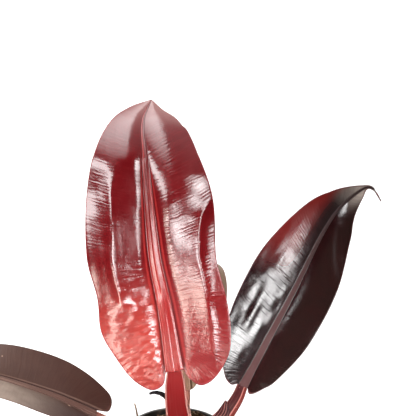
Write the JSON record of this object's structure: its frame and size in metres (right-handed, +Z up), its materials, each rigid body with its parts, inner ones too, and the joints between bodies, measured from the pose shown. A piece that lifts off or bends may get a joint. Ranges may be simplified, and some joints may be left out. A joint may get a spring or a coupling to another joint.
{
  "type": "potted red sun philodendron",
  "caption": "Young aroid house plant in a round nursery pot: broad glossy red, maroon and brown leaves on grooved petioles from a short stem, with soil and a curled dry bract.",
  "frame": {"origin": "middle of the pot's underside", "axes": "+Z up, -Y towards the viewer whom the newest leaf faces, +X to that viewer's right"},
  "size_m": [0.4085, 0.1973, 0.3335],
  "materials": {
    "newest_blade": "waxy gloss, bright red with fine side veins",
    "newest_petiole": "satin, red with pale pink margins",
    "right_blade": "waxy gloss, dark maroon with a red margin",
    "right_petiole": "satin, dark red",
    "left_blade": "satin, brown with pale flecks",
    "left_petiole": "satin, pinkish brown",
    "back_blade": "satin, olive brown",
    "back_petiole": "satin, pale pink",
    "dry_bract": "dry, papery, near black",
    "stem": "rough with ring scars",
    "soil": "matt coir mix with fibres and pale chips",
    "pot": "dark grey moulded plastic, satin rim"
  },
  "bodies": {
    "root": {"newest_leaf_blade": "newest_blade", "newest_leaf_petiole": "newest_petiole", "right_leaf_blade": "right_blade", "right_leaf_petiole": "right_petiole", "left_leaf_blade": "left_blade", "left_leaf_petiole": "left_petiole", "back_leaf_blade": "back_blade", "back_leaf_petiole": "back_petiole", "dry_bract": "dry_bract", "stem": "stem", "soil": "soil", "pot": "pot"}
  },
  "joints": []
}
